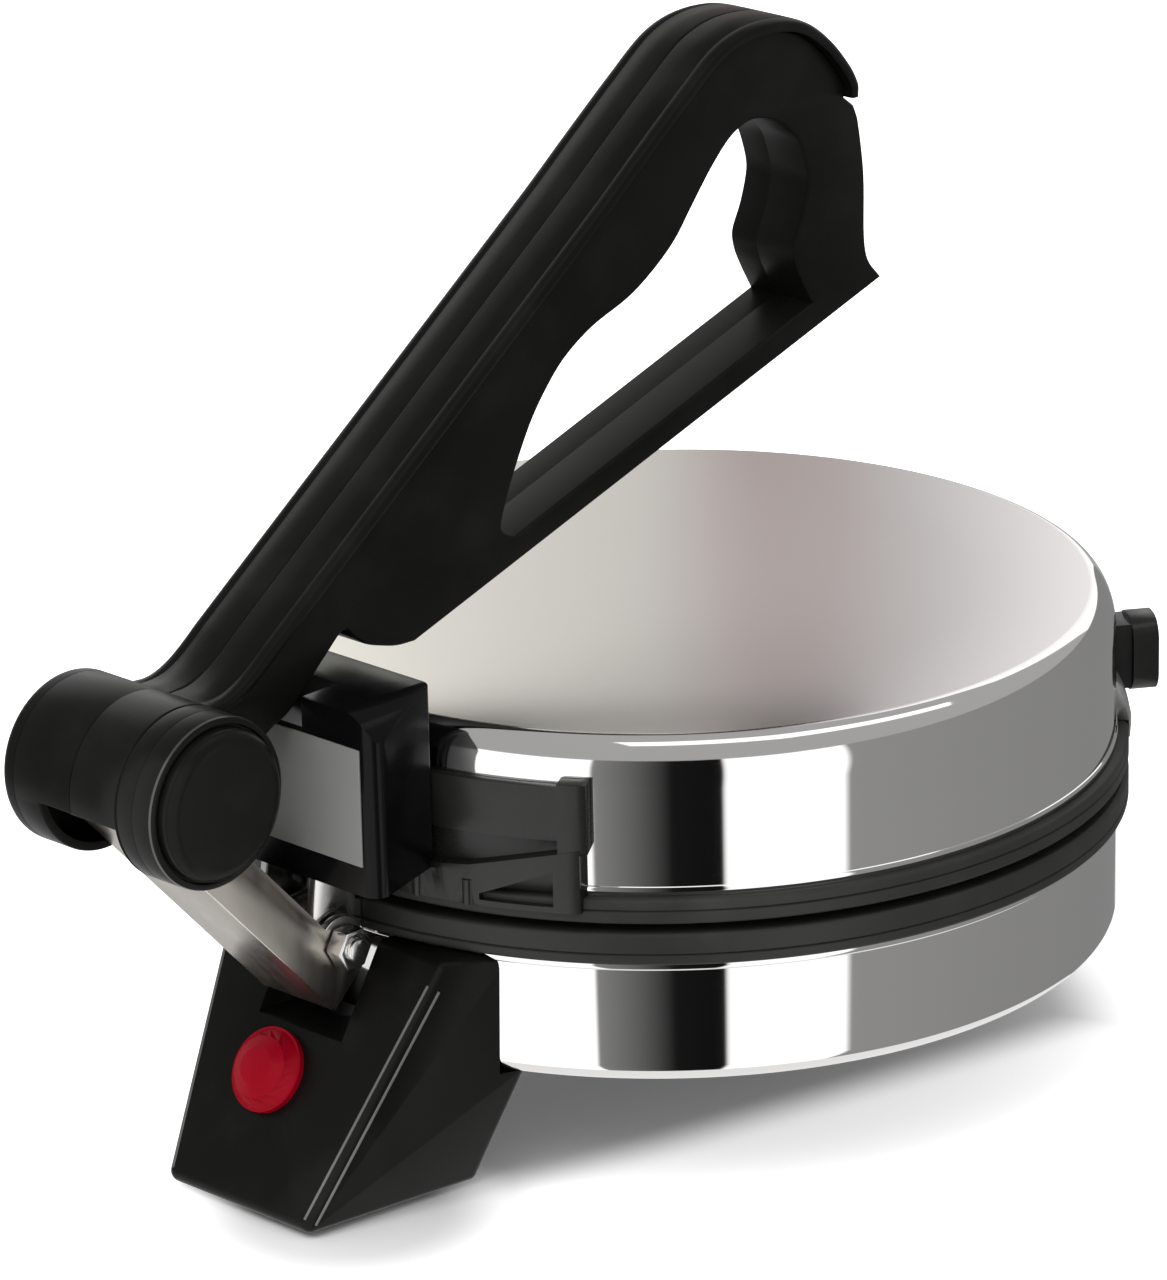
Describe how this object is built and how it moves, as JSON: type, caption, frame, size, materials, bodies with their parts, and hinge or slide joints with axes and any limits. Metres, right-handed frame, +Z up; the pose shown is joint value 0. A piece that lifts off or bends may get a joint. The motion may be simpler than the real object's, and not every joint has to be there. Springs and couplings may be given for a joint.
{
  "type": "electric roti maker",
  "caption": "Round electric press cooker with hinged steel lid, plates between dark rings, a rear leg with lamp, and a long open lever handle on a steel link.",
  "frame": {"origin": "on the surface that the rubber feet stand on, under the middle of the whole outline as seen from above (43.9 mm behind the axis of the round body)", "axes": "+Z up, +X from the hinge side to the front of the body, +Y to the left as seen from the front"},
  "size_m": [0.3318, 0.244, 0.2758],
  "materials": {
    "polished_steel": "mirror polished",
    "black_plastic": "satin black",
    "dark_ring": "matte",
    "nonstick_plate": "aluminium plate with a black non-stick coating",
    "grey_steel": "plain",
    "sheet_steel": "satin",
    "bright_steel": "plated",
    "ceramic": "glazed",
    "rubber": "matte",
    "red_lens": "deep glossy red",
    "lamp_glass": "clear",
    "label_metal": "satin",
    "nylon": "matte"
  },
  "bodies": {
    "base": {"lower_shell": "polished_steel", "lower_ring": "dark_ring", "lower_plate": "nonstick_plate", "lower_heater": "grey_steel", "lower_reflector": "sheet_steel", "bottom_cover": "sheet_steel", "cover_screws": "bright_steel", "thermostat": "ceramic", "thermal_fuse": "ceramic", "lower_terminals": "ceramic", "rear_leg": "black_plastic", "front_leg": "black_plastic", "leg_screws": "bright_steel", "rubber_feet": "rubber", "indicator_lens": "red_lens", "neon_lamp": "lamp_glass", "base_bracket": "grey_steel", "bracket_screw": "bright_steel", "hinge_bolt": "bright_steel", "hinge_nut": "bright_steel"},
    "lid": {"upper_shell": "polished_steel", "upper_ring": "dark_ring", "upper_plate": "nonstick_plate", "upper_heater": "grey_steel", "upper_reflector": "sheet_steel", "upper_terminals": "ceramic", "hinge_box": "black_plastic", "label_plate": "label_metal", "hinge_saddle": "black_plastic", "lid_ears": "grey_steel", "box_screws": "bright_steel", "lid_knob": "black_plastic", "knob_screw": "bright_steel", "knob_bracket": "polished_steel"},
    "link": {"link_arm": "grey_steel"},
    "handle": {"handle_axle": "bright_steel", "axle_sleeves": "nylon", "handle_near": "black_plastic", "handle_far": "black_plastic", "handle_cover": "black_plastic", "barrel_cap": "black_plastic", "handle_screws": "bright_steel"}
  },
  "joints": [
    {"name": "lid_hinge", "type": "hinge", "parent": "base", "child": "lid", "pos_m": [-0.0911, 0, 0.069], "axis": [0, -1, 0], "range_deg": [0, 60]},
    {"name": "link_swing", "type": "hinge", "parent": "lid", "child": "link", "pos_m": [-0.0911, 0, 0.069], "axis": [0, 1, 0], "range_deg": [-12, 4]},
    {"name": "handle_press", "type": "hinge", "parent": "link", "child": "handle", "pos_m": [-0.1439, 0, 0.12601], "axis": [0, 1, 0], "range_deg": [-60, 3]}
  ]
}
